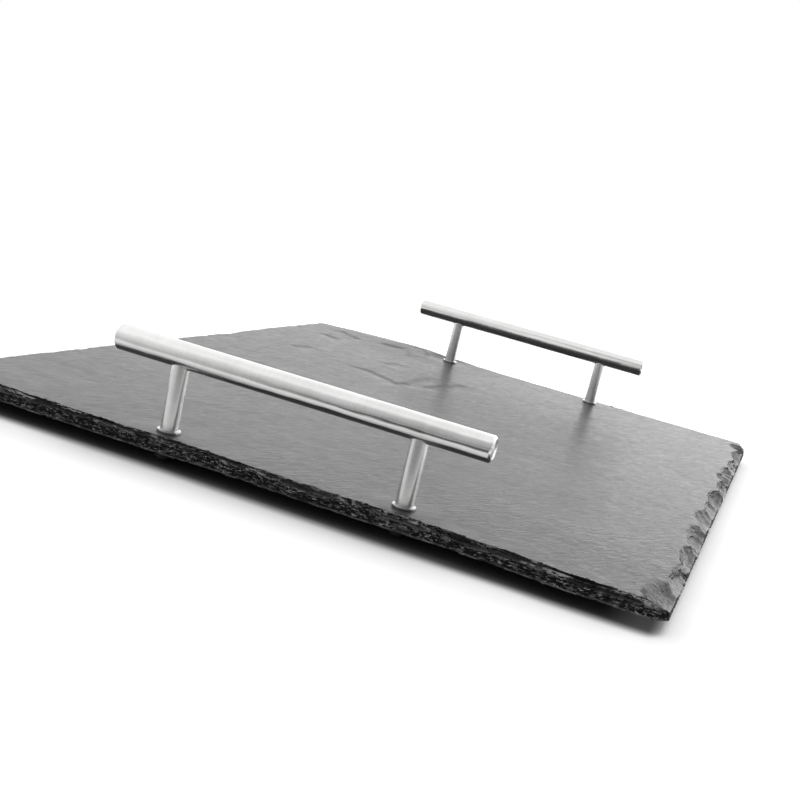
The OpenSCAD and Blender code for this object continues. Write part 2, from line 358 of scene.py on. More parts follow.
# Draws the points of one row inwards, so that the layer above hangs over a slot
def openSlot(points, place, length, depth, height):
    swing = np.abs(points[:, 0] - place) / (length / 2)
    inRow = np.abs(points[:, 2] - height) < slateSpec["rowPlay"]
    inSlot = inRow & (points[:, 1] < slateSpec["rowPlay"]) & (swing < 1)
    points[inSlot, 1] += depth * np.sqrt(1 - swing[inSlot] ** 2)


# Smooth offsets along the edge, into the stone and up, which make the scars irregular
def edgeWarp(points, warp, shift):
    along, across = warp
    broadSize = warpSpec["broad"]
    fineSize = warpSpec["fine"]
    share = warpSpec["fineShare"]
    offsets = np.empty_like(points)
    for k, (s, d, z) in enumerate(points):
        broad = noise.noise_vector(Vector((s / broadSize[0], d / broadSize[1], z / broadSize[2] + shift)))
        fine = noise.noise_vector(Vector((s / fineSize[0], d / fineSize[1], z / fineSize[2] - shift)))
        offsets[k] = (along * (broad.x + share[0] * fine.x), across * (broad.y + share[1] * fine.y),
                      warpSpec["rise"] * across * (broad.z + share[2] * fine.z))
    return offsets


# Opens the slots of one side and strikes its flakes and chips
def knapSide(plan, size, top, side, dice):
    alongAxis, inAxis, flipped = sideAxes[side]
    spec = flakeSpec[side]
    length = size[alongAxis]
    depth = depthFrom(plan, size, side)
    near = np.nonzero(depth < strikeSpec["focus"][0])[0]
    points = np.stack([plan[near, alongAxis], depth[near], plan[near, 2]], 1)
    for k in range(round(length / slotSpec["gap"])):
        openSlot(points, dice.uniform(0, length), dice.uniform(*slotSpec["length"]),
                 dice.uniform(*slotSpec["depth"]), dice.choice(slotSpec["heights"]))
    offsets = edgeWarp(points, spec["warp"], dice.uniform(0, warpSpec["shift"]))
    points += offsets
    order = np.argsort(points[:, 0])
    along = points[order, 0]
    for strike in flakesAlong(dice, spec, length) + chipsAlong(dice, spec, length):
        strikeFlake(points, order, along, top, *strike)
    points -= offsets
    plan[near, alongAxis] = points[:, 0]
    plan[near, inAxis] = size[inAxis] - points[:, 1] if flipped else points[:, 1]
    plan[near, 2] = points[:, 2]


# Draws one side of the outline in, and its upper arris a little further
def trimSide(plan, size, top, side):
    alongAxis, inAxis, flipped = sideAxes[side]
    fade = softly(1 - depthFrom(plan, size, side) / slateSpec["trimFade"])
    places, insets = zip(*trimLines[side])
    inset = np.interp(plan[:, alongAxis] - size[alongAxis] / 2, places, insets)
    inset += flakeSpec[side]["lean"] * np.clip(plan[:, 2] / top, 0, 1)
    plan[:, inAxis] += inset * fade * (-1 if flipped else 1)


# Knaps and trims the four sides, and returns how far each point was moved by the knapping.
# plan is x, y, z in mm from the slab's low corner
def knapEdges(plan, size, top):
    dice = random.Random(slateSpec["seed"])
    noise.seed_set(slateSpec["seed"])    # without it noise_vector differs from run to run
    start = plan.copy()
    for side in sideAxes:
        knapSide(plan, size, top, side, dice)
    taken = np.linalg.norm(plan - start, axis=1)
    for side in sideAxes:
        trimSide(plan, size, top, side)
    return taken


# Turns a smooth height into layers with short ramps between them
def terrace(value):
    whole = np.floor(value)
    return whole + softly((value - whole - 0.5) / reliefSpec["softness"] + 0.5)


# Depth left by one ledge line: full on its right-hand side at the line, fading out away from it
def ledgeDepth(places, line):
    best = np.full(len(places), np.inf)
    side = np.zeros(len(places))
    share = np.zeros(len(places))
    line = np.array(line, float)
    for k, (start, end) in enumerate(zip(line, line[1:])):
        run = end - start
        t = np.clip(((places - start) @ run) / (run @ run), 0, 1)
        offset = places - (start + t[:, None] * run)
        apart = np.hypot(*offset.T)
        closer = apart < best
        best = np.where(closer, apart, best)
        turn = run[0] * offset[:, 1] - run[1] * offset[:, 0]
        side = np.where(closer, np.sign(turn), side)
        share = np.where(closer, (k + t) / (len(line) - 1), share)
    slide = best * side / reliefSpec["ledgeWidth"] * reliefSpec["ledgeSteepness"]
    step = 1 / (1 + np.exp(np.clip(slide, -60, 60)))     # kept within what exp can hold
    fade = np.exp(-(best / reliefSpec["ledgeFade"]) ** 2)
    taper = np.clip(np.minimum(share, 1 - share) * reliefSpec["ledgeTaper"], 0, 1)
    return reliefSpec["ledgeDrop"] * step * fade * taper


# A noise of that size and kind at each place
def fractalAt(places, size, shift, kind):
    return np.array([noise.fractal(Vector((x / size, y / size, shift)), *kind) for x, y in places])


# How far the riven face lies below its highest layer at each place, in mm
def cleftDepth(places, seats, shift, lines, hump):
    swell = fractalAt(places, reliefSpec["swell"], shift, reliefSpec["swellNoise"])
    grain = fractalAt(places, reliefSpec["grain"], shift + reliefSpec["grainShift"], reliefSpec["grainNoise"])
    depth = terrace(swell * reliefSpec["levels"]) * reliefSpec["step"] + grain * reliefSpec["grainDepth"]
    depth -= depth.min()
    for line in lines:
        depth += ledgeDepth(places, line)
    if hump is not None:
        swing = ((places - hump) / reliefSpec["humpSize"]) ** 2
        depth -= reliefSpec["humpHeight"] * np.exp(-swing.sum(1) / 2)
    for seat in seats:
        apart = np.hypot(places[:, 0] - seat[0], places[:, 1] - seat[1])
        depth *= np.clip((apart - reliefSpec["seatRadius"]) / reliefSpec["seatFade"], 0, 1)
    return depth


# Gives the upper and the lower face their relief
def cleaveFaces(plan, size, low, onUpper, onLower, untouched):
    seats = []
    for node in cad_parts:
        if node.endswith("_post"):
            postLow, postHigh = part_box(node)
            seats.append((((postLow + postHigh) / 2 - low) / mm)[:2])
    middle = np.array(size) / 2
    ledges = [[middle + place for place in line] for line in ledgeLines]
    hump = middle + reliefSpec["humpPlace"]
    for face, share, shift, lines, raised in (
            (onUpper, -1, reliefSpec["upperShift"], ledges, hump),
            (onLower, reliefSpec["lowerShare"], reliefSpec["lowerShift"], [], None)):
        depth = cleftDepth(plan[face, :2], seats, shift, lines, raised)
        plan[face, 2] += share * depth * np.where(untouched[face], 1, reliefSpec["scarShare"])


# Stores what the stone's material asks for: where it is broken, and where the pale lower arris runs
def markStone(slab, plan, taken):
    away = np.abs(plan[:, 2] - brokenSpec["arrisHeight"]) / brokenSpec["arrisWidth"]
    for name, value in (("brokenStone", taken / brokenSpec["marked"]), ("lowerArris", 1 - away)):
        mark = slab.data.attributes.new(name, "FLOAT", "POINT")
        mark.data.foreach_set("value", np.clip(value, 0, 1).astype(np.float32))


# Displaces the broken stone by two noises, more or less on each side
def roughenRim(slab, plan, size, isBroken):
    inwards = np.stack([depthFrom(plan, size, side) for side in sideAxes])
    crumbs = np.array([flakeSpec[side]["crumb"] for side in sideAxes])
    roughness = np.where(isBroken, crumbs[inwards.argmin(0)], 0.0)
    rim = slab.vertex_groups.new(name="rim")
    weights = brokenSpec["weights"]
    for level in range(weights + 1):
        members = np.nonzero(np.round(roughness * weights) == level)[0].tolist()
        rim.add(members, level / weights, "REPLACE")
    deselectAll()
    bpy.context.view_layer.objects.active = slab
    slab.select_set(True)
    for name, (grain, strength) in brokenSpec["grits"].items():
        grit = bpy.data.textures.new(name, "CLOUDS")
        grit.noise_scale = grain * mm
        grit.noise_depth = brokenSpec["gritDepth"]
        grit.noise_type = "HARD_NOISE"
        rough = slab.modifiers.new(name, "DISPLACE")
        rough.texture = grit
        rough.texture_coords = "LOCAL"
        rough.vertex_group = "rim"
        rough.mid_level = 0.5
        rough.strength = strength * mm
        bpy.ops.object.modifier_apply(modifier=name)


def makeSlate():
    low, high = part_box(slateSpec["node"])
    slab, size, top = buildSlab(low, high)
    print("slab drawn:", len(slab.data.vertices), "points")
    co = np.zeros(len(slab.data.vertices) * 3)
    slab.data.vertices.foreach_get("co", co)
    plan = (co.reshape(-1, 3) - np.array(low)) / mm
    onUpper = plan[:, 2] > top - hair / mm
    onLower = plan[:, 2] < hair / mm
    taken = knapEdges(plan, size, top)
    untouched = taken < brokenSpec["untouched"]
    cleaveFaces(plan, size, low, onUpper, onLower, untouched)
    slab.data.vertices.foreach_set("co", (plan * mm + np.array(low)).ravel())
    markStone(slab, plan, taken)
    roughenRim(slab, plan, size, ~(onUpper | onLower) | ~untouched)
    bpy.ops.object.shade_smooth_by_angle(angle=math.radians(slateSpec["smoothAngle"]))
    deselectAll()
    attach(slab, "root")
    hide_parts(slateSpec["node"])
    return slab


slate = makeSlate()
print("slate knapped:", len(slate.data.polygons), "faces")


# The handles: two bars, four posts cut to a saddle, and the collars at their feet. Sizes are in mm

barSpec = {
    "nodes": {"barNear": "near_handle_bar", "barFar": "far_handle_bar"},
    "sides": 128,
    # The turned end: radius and distance from the end, from the chamfer to the middle
    "endProfile": [(5.0, 0.86), (4.97, 0.78), (4.91, 0.70), (4.31, 0.09), (4.24, 0.03), (4.14, 0.0),
                   (3.7, 0.0), (3.6, 0.03), (2.1, 0.05), (2.0, 0.08), (0.7, 0.10)],
    "endFacing": 0.99,       # a face is the end of the bar if its normal has this much along the bar
    "smoothAngle": 24,
}


def makeBar(name, node):
    low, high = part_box(node)
    centre = (low + high) / 2
    profile = barSpec["endProfile"]
    straight = high.x - low.x - 2 * profile[0][1] * mm
    deselectAll()
    bpy.ops.mesh.primitive_cylinder_add(
        vertices=barSpec["sides"], radius=(high.z - low.z) / 2, depth=straight, location=centre,
        rotation=(0, math.pi / 2, 0))
    bar = newPiece(name)
    for side in (-1, 1):
        pick(bar, "FACE", lambda f: f.normal.x * side > barSpec["endFacing"])
        for (widthA, awayA), (widthB, awayB) in zip(profile, profile[1:]):
            bpy.ops.mesh.extrude_region_move(
                TRANSFORM_OT_translate={"value": (side * (awayA - awayB) * mm, 0, 0)})
            bpy.ops.transform.resize(value=(1, widthB / widthA, widthB / widthA), center_override=centre)
    closePiece(bar, barSpec["smoothAngle"])
    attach(bar, "root")
    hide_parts(node)
    return bar


postSpec = {
    "nodes": {
        "postNearLeft": "near_left_post", "postNearRight": "near_right_post",
        "postFarLeft": "far_left_post", "postFarRight": "far_right_post",
    },
    "sides": 96,
    "spare": 2.0,            # the post starts out this much longer, and its saddle takes it off
    "seatGap": 0.04,         # between the saddle and the bar that lies in it
    "cutterSides": 256,
    "cutterLength": 40.0,
    "merge": 0.001,
    "smoothAngle": 30,
}
collarSpec = {
    "nodes": {
        "collarNearLeft": "near_left_collar", "collarNearRight": "near_right_collar",
        "collarFarLeft": "far_left_collar", "collarFarRight": "far_right_collar",
    },
    "sides": 96,
    "bore": 2.25,            # radius of the screw's hole
    "edge": 0.14,            # rounding of its upper edge
    "foot": 0.1,             # and of its lower edge
    "roundingSteps": 4,
    "smoothAngle": 40,
}


# Copies a finished piece with a mesh of its own and moves it in the mesh
def copyPiece(piece, name, shift):
    twin = piece.copy()
    twin.data = piece.data.copy()
    twin.name = name
    twin.data.name = name
    twin.data.transform(Matrix.Translation(shift))
    bpy.context.scene.collection.objects.link(twin)
    return twin


# Makes the piece for the first node and copies it to the places of the others
def makeSet(spec, make):
    pieces = {}
    first = None
    for name, node in spec["nodes"].items():
        low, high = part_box(node)
        if first is None:
            first = low
            source = make(name, low, high)
            pieces[name] = source
        else:
            pieces[name] = copyPiece(source, name, low - first)
        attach(pieces[name], "root")
        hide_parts(node)
    return pieces


def makePost(name, low, high):
    centre = (low + high) / 2
    spare = postSpec["spare"] * mm
    barLow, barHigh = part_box("near_handle_bar")
    barCentre = (barLow + barHigh) / 2
    deselectAll()
    bpy.ops.mesh.primitive_cylinder_add(
        vertices=postSpec["sides"], radius=(high.x - low.x) / 2, depth=high.z - low.z + spare,
        location=(centre.x, centre.y, centre.z + spare / 2))
    post = newPiece(name)
    bpy.ops.object.mode_set(mode="OBJECT")
    deselectAll()
    bpy.ops.mesh.primitive_cylinder_add(
        vertices=postSpec["cutterSides"], radius=(barHigh.z - barLow.z) / 2 + postSpec["seatGap"] * mm,
        depth=postSpec["cutterLength"] * mm, location=(centre.x, barCentre.y, barCentre.z),
        rotation=(0, math.pi / 2, 0))
    cutter = bpy.context.object
    deselectAll()
    bpy.context.view_layer.objects.active = post
    post.select_set(True)
    saddle = post.modifiers.new("saddle", "BOOLEAN")
    saddle.operation = "DIFFERENCE"
    saddle.solver = "EXACT"
    saddle.object = cutter
    bpy.ops.object.modifier_apply(modifier="saddle")
    bpy.data.objects.remove(cutter)
    bpy.ops.object.mode_set(mode="EDIT")
    bpy.ops.mesh.select_all(action="SELECT")
    bpy.ops.mesh.remove_doubles(threshold=postSpec["merge"] * mm)
    closePiece(post, postSpec["smoothAngle"])
    return post


# An end cap is the only kind of face with more than four corners
def isCap(face):
    return len(face.verts) > 4


def makeCollar(name, low, high):
    centre = (low + high) / 2
    outer = (high.x - low.x) / 2
    roundings = ((high.z, collarSpec["edge"] * mm), (low.z, collarSpec["foot"] * mm))
    deselectAll()
    bpy.ops.mesh.primitive_cylinder_add(
        vertices=collarSpec["sides"], radius=outer, depth=high.z - low.z, location=centre)
    collar = newPiece(name)
    for level, rounding in roundings:
        pick(collar, "EDGE", lambda e: all(abs(v.co.z - level) < hair for v in e.verts))
        bpy.ops.mesh.bevel(offset=rounding, segments=collarSpec["roundingSteps"])
    for level, rounding in roundings:
        pick(collar, "FACE", lambda f: isCap(f) and all(abs(v.co.z - level) < hair for v in f.verts))
        bpy.ops.mesh.inset(thickness=outer - rounding - collarSpec["bore"] * mm)
    pick(collar, "FACE", isCap)
    bpy.ops.mesh.bridge_edge_loops()
    closePiece(collar, collarSpec["smoothAngle"])
    return collar


bars = {name: makeBar(name, node) for name, node in barSpec["nodes"].items()}
print("bars turned:", len(bars))
posts = makeSet(postSpec, makePost)
print("posts cut to their saddles:", len(posts))
collars = makeSet(collarSpec, makeCollar)
print("collars turned:", len(collars))


# Finishes

# Adds one shader node, sets its fields and fills its sockets with values or links
def addNode(tree, kind, sockets=None, **fields):
    node = tree.nodes.new("ShaderNode" + kind)
    for name, value in fields.items():
        setattr(node, name, value)
    for key, value in (sockets or {}).items():
        if isinstance(value, bpy.types.NodeSocket):
            tree.links.new(value, node.inputs[key])
        else:
            node.inputs[key].default_value = value
    return node


def noiseFac(tree, place, scale, detail, roughness, distortion=0.0):
    return addNode(tree, "TexNoise", {
        "Vector": place, "Scale": scale, "Detail": detail, "Roughness": roughness,
        "Distortion": distortion}).outputs[0]


def mapTo(tree, value, fromLow, fromHigh, toLow, toHigh, smooth=False):
    return addNode(tree, "MapRange", {
        0: value, 1: fromLow, 2: fromHigh, 3: toLow, 4: toHigh},
        interpolation_type="SMOOTHSTEP" if smooth else "LINEAR").outputs[0]


def mixValue(tree, factor, a, b):
    return addNode(tree, "Mix", {0: factor, 2: a, 3: b}, data_type="FLOAT").outputs[0]


def mixColour(tree, factor, a, b):
    return addNode(tree, "Mix", {0: factor, 6: a, 7: b}, data_type="RGBA").outputs[2]


def work(tree, operation, a, b=0.0):
    return addNode(tree, "Math", {0: a, 1: b}, operation=operation).outputs[0]


def vectorWork(tree, operation, a, b=(0, 0, 0)):
    node = addNode(tree, "VectorMath", {0: a, 1: b}, operation=operation)
    return node.outputs["Value" if operation in ("LENGTH", "DOT_PRODUCT") else "Vector"]


# The sum of the named fields, each times its weight
def weigh(tree, fields, weights):
    total = 0.0
    for name, weight in weights.items():
        total = work(tree, "ADD", work(tree, "MULTIPLY", fields[name], weight), total)
    return total


def grey(level, alpha=1.0):
    return (level, level, level, alpha)


def newMaterial(name):
    material = bpy.data.materials.new(name)
    material.use_nodes = True
    tree = material.node_tree
    return material, tree, tree.nodes["Principled BSDF"]


turnedSpec = {
    "around": 160.0,                 # how finely the lines change on their way round, per metre
    "lines": (1.0, 4.0, 0.65),       # scale, detail and roughness of each noise
    "bands": (1.0, 2.0, 0.5),
    "bandShare": (0.07, 0.5, 0.5),   # scale of the bands along and round, as a share of the lines' scale
    "smudge": (90.0, 3.0, 0.55, 0.6),
    "wave": (1.0, 2.0, 0.5),
    "waveScale": (38.0, 150.0, 150.0),
}


# Fine lines left by turning: they run round the X axis of the place that comes in
def makeTurnedLines():
    group = bpy.data.node_groups.new("turnedLines", "ShaderNodeTree")
    for name, kind in (("Place", "Vector"), ("Pitch", "Float")):
        group.interface.new_socket(name=name, in_out="INPUT", socket_type="NodeSocket" + kind)
    for name in ("Depth", "Dullness", "Smudge", "Wave"):
        group.interface.new_socket(name=name, in_out="OUTPUT", socket_type="NodeSocketFloat")
    start = group.nodes.new("NodeGroupInput")
    end = group.nodes.new("NodeGroupOutput")
    place = start.outputs["Place"]
    around = turnedSpec["around"]
    fine = vectorWork(group, "MULTIPLY", place, addNode(group, "CombineXYZ", {
        0: start.outputs["Pitch"], 1: around, 2: around}).outputs[0])
    lines = noiseFac(group, fine, *turnedSpec["lines"])
    wide = vectorWork(group, "MULTIPLY", fine, turnedSpec["bandShare"])
    bands = noiseFac(group, wide, *turnedSpec["bands"])
    smudge = noiseFac(group, place, *turnedSpec["smudge"])
    long = vectorWork(group, "MULTIPLY", place, turnedSpec["waveScale"])
    group.links.new(noiseFac(group, long, *turnedSpec["wave"]), end.inputs["Wave"])
    group.links.new(lines, end.inputs["Depth"])
    group.links.new(mixValue(group, 0.5, lines, bands), end.inputs["Dullness"])
    group.links.new(smudge, end.inputs["Smudge"])
    return group


turnedLines = makeTurnedLines()

steelSpec = {
    "satinBar": {
        "axis": "X", "colour": 0.66, "pitch": 5200, "dull": (0.19, 0.29), "bump": 0.14, "wave": 0.5},
    "satinPost": {
        "axis": "Z", "colour": 0.66, "pitch": 5200, "dull": (0.2, 0.28), "bump": 0.14, "wave": 0.2},
    # the collars are the same satin steel as the posts, at about half their colour as painted shade of the
    # dark post they reflect
    "satinCollarPaintedShade": {
        "axis": "Z", "colour": 0.34, "pitch": 5200, "dull": (0.16, 0.26), "bump": 0.1, "wave": 0.1},
    # the stainless fasteners are painted near-black, as painted shade in the shadow under the board
    "fastenerSteelPaintedShade": {
        "axis": "Z", "colour": 0.05, "pitch": 3600, "dull": (0.4, 0.6), "bump": 0.2, "wave": 0.1},
}
lineSpec = {
    "shadeShare": 0.86,              # the dark lines keep this share of the colour, a little warmer
    "shadeTint": (1, 0.99, 0.975, 1),
    "shadeRange": (0.35, 0.65),
    "smudgeShare": 0.35,
    "dullRange": (0.3, 0.7),
    "depth": 0.02,                   # mm
    "stretch": 0.9,                  # of the blur
    "turn": 0.25,                    # the lines run round, so the blur runs along
}


def makeSteel(name):
    spec = steelSpec[name]
    material, tree, shader = newMaterial(name)
    place = addNode(tree, "TexCoord").outputs["Object"]
    if spec["axis"] == "Z":
        place = addNode(tree, "Mapping", {"Vector": place, "Rotation": (0, math.pi / 2, 0)}).outputs[0]
    lines = addNode(tree, "Group", node_tree=turnedLines)
    tree.links.new(place, lines.inputs["Place"])
    lines.inputs["Pitch"].default_value = spec["pitch"]
    light = grey(spec["colour"])
    dark = tuple(v * w for v, w in zip(grey(spec["colour"] * lineSpec["shadeShare"]), lineSpec["shadeTint"]))
    shade = mixValue(tree, 0.5, lines.outputs["Depth"], lines.outputs["Smudge"])
    shade = mapTo(tree, shade, *lineSpec["shadeRange"], 0.0, 1.0)
    tree.links.new(mixColour(tree, shade, dark, light), shader.inputs["Base Color"])
    dull = mixValue(tree, lineSpec["smudgeShare"], lines.outputs["Dullness"], lines.outputs["Smudge"])
    tree.links.new(mapTo(tree, dull, *lineSpec["dullRange"], *spec["dull"]), shader.inputs["Roughness"])
    wave = addNode(tree, "Bump", {
        "Strength": 1.0, "Distance": spec["wave"] * mm, "Height": lines.outputs["Wave"]})
    bump = addNode(tree, "Bump", {
        "Strength": spec["bump"], "Distance": lineSpec["depth"] * mm, "Height": lines.outputs["Depth"],
        "Normal": wave.outputs[0]})
    tree.links.new(bump.outputs[0], shader.inputs["Normal"])
    around = addNode(tree, "Tangent", direction_type="RADIAL", axis=spec["axis"])
    tree.links.new(around.outputs[0], shader.inputs["Tangent"])
    shader.inputs["Metallic"].default_value = 1.0
    shader.inputs["Anisotropic"].default_value = lineSpec["stretch"]
    shader.inputs["Anisotropic Rotation"].default_value = lineSpec["turn"]
    return material


# A CAD node keeps its shape and gets a finish in every slot of its object
def dressNode(node, material):
    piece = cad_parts[node]
    if not piece.material_slots:
        piece.data.materials.append(material)
    for place in piece.material_slots:
        place.material = material


steels = {name: makeSteel(name) for name in steelSpec}
for pieces, finish in ((bars, "satinBar"), (posts, "satinPost"), (collars, "satinCollarPaintedShade")):
    for piece in pieces.values():
        piece.data.materials.append(steels[finish])


rubberSpec = {
    "dark": 0.012,
    "light": 0.03,
    "grain": (2600.0, 2.0, 0.6),     # scale, detail and roughness of each noise
    "dust": (160.0, 4.0, 0.6),
    "dustRange": (0.4, 0.75),
    "dullRange": (0.3, 0.7),
    "dull": (0.55, 0.8),
    "bump": 0.35,
    "depth": 0.05,                   # mm
}


def makeRubber():
    material, tree, shader = newMaterial("footRubber")
    place = addNode(tree, "TexCoord").outputs["Object"]
    grain = noiseFac(tree, place, *rubberSpec["grain"])
    dust = noiseFac(tree, place, *rubberSpec["dust"])
    pale = mapTo(tree, dust, *rubberSpec["dustRange"], 0.0, 1.0)
    tree.links.new(mixColour(tree, pale, grey(rubberSpec["dark"]), grey(rubberSpec["light"])),
                   shader.inputs["Base Color"])
    dull = mapTo(tree, dust, *rubberSpec["dullRange"], *rubberSpec["dull"])
    tree.links.new(dull, shader.inputs["Roughness"])
    bump = addNode(tree, "Bump", {
        "Strength": rubberSpec["bump"], "Distance": rubberSpec["depth"] * mm, "Height": grain})
    tree.links.new(bump.outputs[0], shader.inputs["Normal"])
    return material


footRubber = makeRubber()
for end in ("near", "far"):
    for side in ("left", "right"):
        dressNode(f"{end}_{side}_foot", footRubber)
        for part in ("stud", "screw", "washer"):
            dressNode(f"{end}_{side}_{part}", steels["fastenerSteelPaintedShade"])
print("steel and rubber dressed")


stoneColours = {
    "riven": (0.024, 0.025, 0.026, 1),
    "rivenPale": (0.038, 0.038, 0.039, 1),
    "speck": (0.19, 0.19, 0.19, 1),
    "scar": (0.05, 0.051, 0.053, 1),
    "scarPale": (0.09, 0.09, 0.092, 1),
    # the broken sides: darker broken stone, made near-black as painted shade
    "edge": (0.0015, 0.0015, 0.0016, 1),
    "edgePale": (0.1, 0.1, 0.102, 1),
    "fleck": (0.4, 0.4, 0.4, 1),
    "arris": (0.2, 0.2, 0.2, 1),
}
# Noises of the stone: scale per metre, detail, roughness and distortion
stoneNoises = {
    "mottle": (150.0, 5.0, 0.6, 0.6),
    "cloud": (22.0, 4.0, 0.55, 0.5),
    "grit": (1500.0, 3.0, 0.7),
    "wander": (60.0, 3.0, 0.5),
    "patches": (18.0, 2.0, 0.5),
    "lines": (1.0, 3.0, 0.5, 0.9),       # these two are read along lineTurn
    "nicks": (1.5, 2.0, 0.5, 1.2),
    "layers": (1.0, 4.0, 0.65),          # and these two in layers
    "splinters": (1.0, 3.0, 0.6),
}
# While what drives a mask goes from the first value to the second, it goes from the third to the fourth
stoneRanges = {
    "flat": (0.42, 0.72, 0.0, 1.0),      # by slope: 0 on the broken sides, 1 on the riven faces; the steep sides take the near-black colour of painted shade
    "rivenPale": (0.38, 0.62, 0.0, 1.0),
    "speck": (0.66, 0.74, 0.0, 0.05),
    "scarPale": (0.4, 0.6, 0.0, 1.0),
    "paler": (10.6 * mm, 6.0 * mm, 0.025, -0.012),     # the broken side is darker lower down
    "edgePale": (0.53, 0.62, 0.0, 1.0),
    "fleck": (0.58, 0.66, 0.0, 1.0),
    "fleckPatch": (0.4, 0.55, 0.1, 1.0),
    "lipHighlightHeight": (8.7 * mm, 9.7 * mm, 0.0, 1.0),       # the lip of the near side is palest of all: its pale layers carry a painted highlight along the upper arris
    "lipHighlightLayer": (0.44, 0.54, 0.0, 1.0),
    "lipHighlightPatch": (0.44, 0.52, 0.0, 1.0),
    "lipHighlightSide": (-189.0 * mm, -192.0 * mm, 0.0, 1.0),
    "arris": (0.4, 0.6, 0.25, 0.9),
    "rivenDull": (0.35, 0.65, 0.3, 0.4),
    "patches": (0.42, 0.6, 0.45, 1.0),   # the lines are deeper in patches, to the right and near the front
    "patchesRight": (-80.0 * mm, 80.0 * mm, 0.35, 1.0),
    "patchesNear": (-170.0 * mm, -30.0 * mm, 1.8, 0.65),
    "nicks": (0.56, 0.68, 0.0, 1.0),
    "nickPatch": (0.42, 0.62, 0.1, 1.0),
}
stoneSpec = {
    "lineTurn": math.radians(60),        # direction of the stone's own fine lines, from the X axis
    "lineSize": (6.0, 1.8, 1.8),         # mm along and across them
    "layerScale": 1300.0,                # per metre upwards
    "layerBend": 6.0,                    # how far the layers wander
    "layerSpread": {"layers": (430.0, 1.0), "splinters": (520.0, 1.7)},    # scale across, and share upwards
    "shardScale": 720.0,
    "lineDull": 0.25,                    # share of the mottle in what dulls the riven face
    "scarDull": 0.42,
    "edgeDull": 0.9,
    "rivenRelief": {"cutLines": 1.35, "cutNicks": -0.5, "mottle": 0.2, "grit": 0.05},
    "brokenRelief": {"layers": 5.0, "shards": 3.4, "grit": 0.8},
    "scarRough": 0.35,                   # share of the broken relief on the scars of the upper face
    "relief": 0.12,                      # mm
    "index": 1.27,
}


def ranged(tree, name, value, smooth=False):
    return mapTo(tree, value, *stoneRanges[name], smooth)


# What the stone's colour, dullness and relief are made from
def stoneFields(tree):
    place = addNode(tree, "TexCoord").outputs["Object"]
    x, y, z = addNode(tree, "SeparateXYZ", {0: place}).outputs
    normal = addNode(tree, "NewGeometry").outputs["Normal"]
    slope = work(tree, "ABSOLUTE", addNode(tree, "SeparateXYZ", {0: normal}).outputs[2])
    drawn = addNode(tree, "Mapping", {
        "Vector": place, "Rotation": (0, 0, stoneSpec["lineTurn"]),
        "Scale": [size * mm for size in stoneSpec["lineSize"]]}, vector_type="TEXTURE").outputs[0]
    fields = {
        "y": y, "z": z,
        "flat": ranged(tree, "flat", slope, True),
        "broken": addNode(tree, "Attribute", attribute_name="brokenStone").outputs["Fac"],
        "arris": addNode(tree, "Attribute", attribute_name="lowerArris").outputs["Fac"],
        "shards": addNode(tree, "TexVoronoi", {
            "Vector": place, "Scale": stoneSpec["shardScale"], "Randomness": 1.0},
            feature="F1").outputs["Distance"],
    }
    for name in ("mottle", "cloud", "grit", "wander", "patches"):
        fields[name] = noiseFac(tree, place, *stoneNoises[name])
    for name in ("lines", "nicks"):
        fields[name] = noiseFac(tree, drawn, *stoneNoises[name])

    # Layers of the stone, seen on its broken sides
    fields["bend"] = mixValue(tree, 0.5, fields["mottle"], fields["wander"])
    height = work(tree, "ADD", work(tree, "MULTIPLY", z, stoneSpec["layerScale"]),
                  work(tree, "MULTIPLY", fields["bend"], stoneSpec["layerBend"]))
    for name, (across, upwards) in stoneSpec["layerSpread"].items():
        spread = addNode(tree, "CombineXYZ", {
            0: work(tree, "MULTIPLY", x, across), 1: work(tree, "MULTIPLY", y, across),
            2: work(tree, "MULTIPLY", height, upwards)}).outputs[0]
        fields[name] = noiseFac(tree, spread, *stoneNoises[name])

    where = ranged(tree, "patches", fields["patches"], True)
    where = work(tree, "MULTIPLY", where, ranged(tree, "patchesRight", x, True))
    where = work(tree, "MULTIPLY", where, ranged(tree, "patchesNear", y, True))
    fields["cutLines"] = work(tree, "MULTIPLY", fields["lines"], where)
    fields["cutNicks"] = work(tree, "MULTIPLY", ranged(tree, "nicks", fields["nicks"]),
                              ranged(tree, "nickPatch", fields["cloud"], True))
    return fields


def topColour(tree, fields):
    pale = ranged(tree, "rivenPale", mixValue(tree, 0.5, fields["cloud"], fields["lines"]))
    riven = mixColour(tree, pale, stoneColours["riven"], stoneColours["rivenPale"])
    riven = mixColour(tree, ranged(tree, "speck", fields["grit"]), riven, stoneColours["speck"])
    scar = mixColour(tree, ranged(tree, "scarPale", fields["layers"]), stoneColours["scar"],
                     stoneColours["scarPale"])
    return mixColour(tree, fields["broken"], riven, scar)


# The broken sides: dark layers, near-black as painted shade, pale flecks between them, a pale lip on the near
# side with a painted highlight, and a pale lower arris
def sideColour(tree, fields):
    paler = ranged(tree, "paler", fields["z"])
    pale = ranged(tree, "edgePale", work(tree, "ADD", fields["layers"], paler))
    fleck = work(tree, "MULTIPLY", ranged(tree, "fleck", fields["splinters"]),
                 ranged(tree, "fleckPatch", work(tree, "ADD", fields["mottle"], paler)))
    # A painted highlight on the pale layers along the near side's upper lip
    lipHighlight = work(tree, "MULTIPLY", ranged(tree, "lipHighlightHeight", fields["z"]),
               ranged(tree, "lipHighlightLayer", fields["layers"]))
    lipHighlight = work(tree, "MULTIPLY", lipHighlight, ranged(tree, "lipHighlightPatch", fields["bend"], True))
    lipHighlight = work(tree, "MULTIPLY", lipHighlight, ranged(tree, "lipHighlightSide", fields["y"]))
    arris = work(tree, "MULTIPLY", fields["arris"], ranged(tree, "arris", fields["mottle"]))
    side = mixColour(tree, pale, stoneColours["edge"], stoneColours["edgePale"])
    side = mixColour(tree, work(tree, "MAXIMUM", fleck, lipHighlight), side, stoneColours["fleck"])
    return mixColour(tree, arris, side, stoneColours["arris"])


